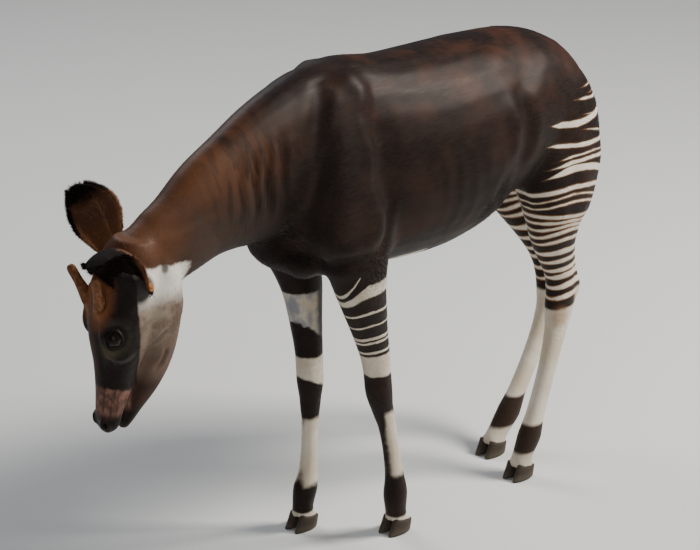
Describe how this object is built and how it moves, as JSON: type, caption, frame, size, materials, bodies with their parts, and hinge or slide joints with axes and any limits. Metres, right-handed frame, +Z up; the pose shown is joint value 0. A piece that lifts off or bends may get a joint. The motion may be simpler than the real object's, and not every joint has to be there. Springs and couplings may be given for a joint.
{
  "type": "okapi",
  "caption": "Life-size still model of a young male okapi, standing with its neck lowered and its head hanging, cloven hooves flat on the floor.",
  "frame": {"origin": "on the floor, at the middle of the bounding box's outline", "axes": "+Z up; the animal faces -X, and its left side is at -Y"},
  "size_m": [1.9976, 0.467, 1.4229],
  "materials": {
    "body_coat": "short glossy fur, near-black chocolate",
    "neck_coat": "short fur, reddish brown",
    "face_coat": "very short fur, brown to pale grey",
    "ear_skin": "thin skin with short fur",
    "horn_skin": "hair-covered skin",
    "striped_coat": "short fur, cream and dark stripes",
    "leg_coat": "short fur, cream",
    "hoof": "dull dark horn",
    "eye": "wet and dark"
  },
  "bodies": {
    "root": {"ear_left": "ear_skin", "ear_right": "ear_skin", "eye_left": "eye", "eye_right": "eye", "head": "face_coat", "hoof_foreleg_left_inner": "hoof", "hoof_foreleg_left_outer": "hoof", "hoof_foreleg_right_inner": "hoof", "hoof_foreleg_right_outer": "hoof", "hoof_hind_leg_left_inner": "hoof", "hoof_hind_leg_left_outer": "hoof", "hoof_hind_leg_right_inner": "hoof", "hoof_hind_leg_right_outer": "hoof", "lower_foreleg_left": "leg_coat", "lower_foreleg_right": "leg_coat", "lower_hind_leg_left": "leg_coat", "lower_hind_leg_right": "leg_coat", "neck": "neck_coat", "ossicone_left": "horn_skin", "ossicone_right": "horn_skin", "tail": "body_coat", "torso": "body_coat", "upper_foreleg_left": "body_coat", "upper_foreleg_right": "body_coat", "upper_hind_leg_left": "striped_coat", "upper_hind_leg_right": "striped_coat"}
  },
  "joints": []
}
